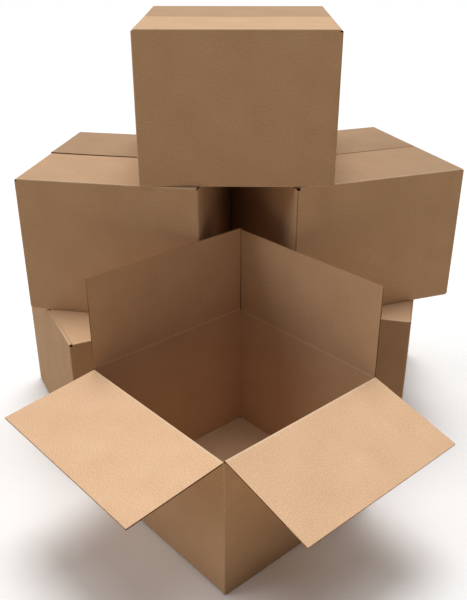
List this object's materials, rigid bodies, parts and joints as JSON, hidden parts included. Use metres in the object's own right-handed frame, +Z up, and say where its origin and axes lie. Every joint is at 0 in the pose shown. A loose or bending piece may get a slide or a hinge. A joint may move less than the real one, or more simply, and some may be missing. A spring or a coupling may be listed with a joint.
{
  "type": "stack of cardboard boxes",
  "caption": "Plain kraft cardboard boxes stacked as a pyramid, closed, with one open box in front whose flaps fold; each is one folded blank.",
  "frame": {"origin": "middle of the floor area under the whole group, at floor level", "axes": "+Z up, the front of the stack faces -Y, +X to the viewer's right"},
  "size_m": [1.2997, 1.4572, 1.167],
  "materials": {
    "kraft_board": "plain brown kraft liner, matt"
  },
  "bodies": {
    "stack": {"open_box": "kraft_board", "lower_left_box": "kraft_board", "lower_right_box": "kraft_board", "middle_left_box": "kraft_board", "middle_right_box": "kraft_board", "top_box": "kraft_board"},
    "front_right_flap": {"front_right_flap": "kraft_board"},
    "rear_right_flap": {"rear_right_flap": "kraft_board"},
    "rear_left_flap": {"rear_left_flap": "kraft_board"},
    "front_left_flap": {"front_left_flap": "kraft_board"},
    "top_front_flap": {"top_front_flap": "kraft_board"},
    "top_rear_flap": {"top_rear_flap": "kraft_board"}
  },
  "joints": [
    {"name": "front_right_fold", "type": "hinge", "parent": "stack", "child": "front_right_flap", "pos_m": [0.17516, -0.38201, 0.387], "axis": [0.7466, 0.6652, 0], "range_deg": [-195.5, 29.5]},
    {"name": "rear_right_fold", "type": "hinge", "parent": "stack", "child": "rear_right_flap", "pos_m": [0.19568, -0.02622, 0.3827], "axis": [-0.6652, 0.7466, 0], "range_deg": [-90, 12]},
    {"name": "rear_left_fold", "type": "hinge", "parent": "stack", "child": "rear_left_flap", "pos_m": [-0.16012, -0.0057, 0.387], "axis": [-0.7466, -0.6652, 0], "range_deg": [-90, 1.7]},
    {"name": "front_left_fold", "type": "hinge", "parent": "stack", "child": "front_left_flap", "pos_m": [-0.18063, -0.36149, 0.3827], "axis": [0.6652, -0.7466, 0], "range_deg": [-187, 38]},
    {"name": "top_front_fold", "type": "hinge", "parent": "stack", "child": "top_front_flap", "pos_m": [0.01501, 0.0924, 1.165], "axis": [0.9999, -0.0105, 0], "range_deg": [0, 225]},
    {"name": "top_rear_fold", "type": "hinge", "parent": "stack", "child": "top_rear_flap", "pos_m": [0.02029, 0.59637, 1.165], "axis": [-0.9999, 0.0105, 0], "range_deg": [0, 225]}
  ]
}
